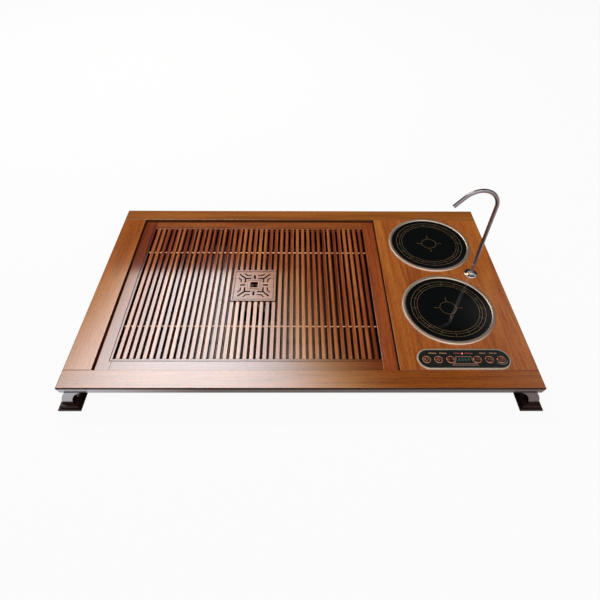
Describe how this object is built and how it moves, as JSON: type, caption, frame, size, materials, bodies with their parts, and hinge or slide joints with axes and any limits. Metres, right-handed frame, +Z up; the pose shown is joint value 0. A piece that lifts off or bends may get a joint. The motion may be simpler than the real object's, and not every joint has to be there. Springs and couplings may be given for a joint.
{
  "type": "gongfu tea table",
  "caption": "Low wooden tea table with a lift-out slatted tray over a drain pan, round hot plates, a key panel and a swivelling gooseneck water spout.",
  "frame": {"origin": "floor level under the middle of the table", "axes": "+X along the length towards the hot plates, +Y towards the back edge, +Z up"},
  "size_m": [0.923, 0.565, 0.29],
  "materials": {
    "rail_wood": "glossy lacquer",
    "stile_wood": "glossy lacquer",
    "panel_wood": "glossy lacquer",
    "bearer_wood": "plain",
    "foot_wood": "glossy lacquer",
    "screw_steel": "zinc plated",
    "pad_rubber": "matte",
    "pan_steel": "satin",
    "spigot_plastic": "satin",
    "tray_side_wood": "glossy lacquer",
    "tray_rail_wood": "glossy lacquer",
    "slat_wood": "glossy lacquer",
    "rod_steel": "bright",
    "medallion_wood": "glossy lacquer",
    "ring_metal": "champagne, satin",
    "hob_glass": "black, polished",
    "seal_rubber": "matte",
    "coil_copper": "enamelled copper wire",
    "carrier_plastic": "matte",
    "ferrite": "matte",
    "power_board": "satin",
    "sink_aluminium": "plain",
    "case_metal": "black powder coat",
    "fan_plastic": "satin",
    "rotor_plastic": "satin",
    "bezel_metal": "champagne, satin",
    "face_plastic": "black, polished",
    "key_metal": "copper ring on black",
    "display": "dark window",
    "lamp_red": "clear red",
    "control_board": "satin",
    "spout_steel": "polished",
    "tube_steel": "polished",
    "pump_plastic": "satin",
    "hose_silicone": "milky silicone",
    "inlet_plastic": "satin",
    "gland_plastic": "matte"
  },
  "bodies": {
    "table": {"front_rail": "rail_wood", "back_rail": "rail_wood", "left_stile": "stile_wood", "hob_panel": "panel_wood", "front_bearer": "bearer_wood", "back_bearer": "bearer_wood", "left_bearer": "bearer_wood", "middle_bearer": "bearer_wood", "foot_front_left": "foot_wood", "foot_front_right": "foot_wood", "foot_back_left": "foot_wood", "foot_back_right": "foot_wood", "bearer_screws": "screw_steel", "foot_screws": "screw_steel", "case_screws": "screw_steel", "foot_pads": "pad_rubber", "pan_walls": "pan_steel", "pan_floor": "pan_steel", "drain_spigot": "spigot_plastic", "spigot_nut": "spigot_plastic", "front_hob_ring": "ring_metal", "rear_hob_ring": "ring_metal", "front_glass": "hob_glass", "rear_glass": "hob_glass", "glass_seals": "seal_rubber", "coils": "coil_copper", "coil_carriers": "carrier_plastic", "ferrite_bars": "ferrite", "inverter_boards": "power_board", "heat_sinks": "sink_aluminium", "hob_case": "case_metal", "fan_frame": "fan_plastic", "panel_bezel": "bezel_metal", "panel_face": "face_plastic", "display_module": "display", "indicator_lamp": "lamp_red", "control_board": "control_board", "spout_base": "spout_steel", "spout_nut": "spout_steel", "pump": "pump_plastic", "water_hoses": "hose_silicone", "water_inlet": "inlet_plastic", "cable_gland": "gland_plastic"},
    "tea_tray": {"tray_left_stile": "tray_side_wood", "tray_right_stile": "tray_side_wood", "tray_front_rail": "tray_rail_wood", "tray_back_rail": "tray_rail_wood", "long_slats": "slat_wood", "short_slats": "slat_wood", "cross_rods": "rod_steel", "medallion_frame": "medallion_wood", "medallion_plate": "medallion_wood"},
    "spout": {"spout_tube": "tube_steel"},
    "fan": {"fan_rotor": "rotor_plastic"},
    "key_1_cap": {"key_1": "key_metal"},
    "key_2_cap": {"key_2": "key_metal"},
    "key_3_cap": {"key_3": "key_metal"},
    "key_4_cap": {"key_4": "key_metal"},
    "key_5_cap": {"key_5": "key_metal"},
    "key_6_cap": {"key_6": "key_metal"}
  },
  "joints": [
    {"name": "tray_lift", "type": "slide", "parent": "table", "child": "tea_tray", "axis": [0, 0, 1], "range_m": [0, 0.12]},
    {"name": "spout_swivel", "type": "hinge", "parent": "table", "child": "spout", "pos_m": [0.388, 0.033, 0.06], "axis": [0, 0, 1], "range_deg": [-75, 75]},
    {"name": "fan_spin", "type": "hinge", "parent": "table", "child": "fan", "pos_m": [0.253, 0.033, 0.019], "axis": [0, 0, 1], "continuous": true},
    {"name": "key_1_press", "type": "slide", "parent": "table", "child": "key_1_cap", "axis": [0, 0, -1], "range_m": [0, 0.0006], "stiffness_N_per_m": 800, "springref_m": -0.0005},
    {"name": "key_2_press", "type": "slide", "parent": "table", "child": "key_2_cap", "axis": [0, 0, -1], "range_m": [0, 0.0006], "stiffness_N_per_m": 800, "springref_m": -0.0005},
    {"name": "key_3_press", "type": "slide", "parent": "table", "child": "key_3_cap", "axis": [0, 0, -1], "range_m": [0, 0.0006], "stiffness_N_per_m": 800, "springref_m": -0.0005},
    {"name": "key_4_press", "type": "slide", "parent": "table", "child": "key_4_cap", "axis": [0, 0, -1], "range_m": [0, 0.0006], "stiffness_N_per_m": 800, "springref_m": -0.0005},
    {"name": "key_5_press", "type": "slide", "parent": "table", "child": "key_5_cap", "axis": [0, 0, -1], "range_m": [0, 0.0006], "stiffness_N_per_m": 800, "springref_m": -0.0005},
    {"name": "key_6_press", "type": "slide", "parent": "table", "child": "key_6_cap", "axis": [0, 0, -1], "range_m": [0, 0.0006], "stiffness_N_per_m": 800, "springref_m": -0.0005}
  ]
}
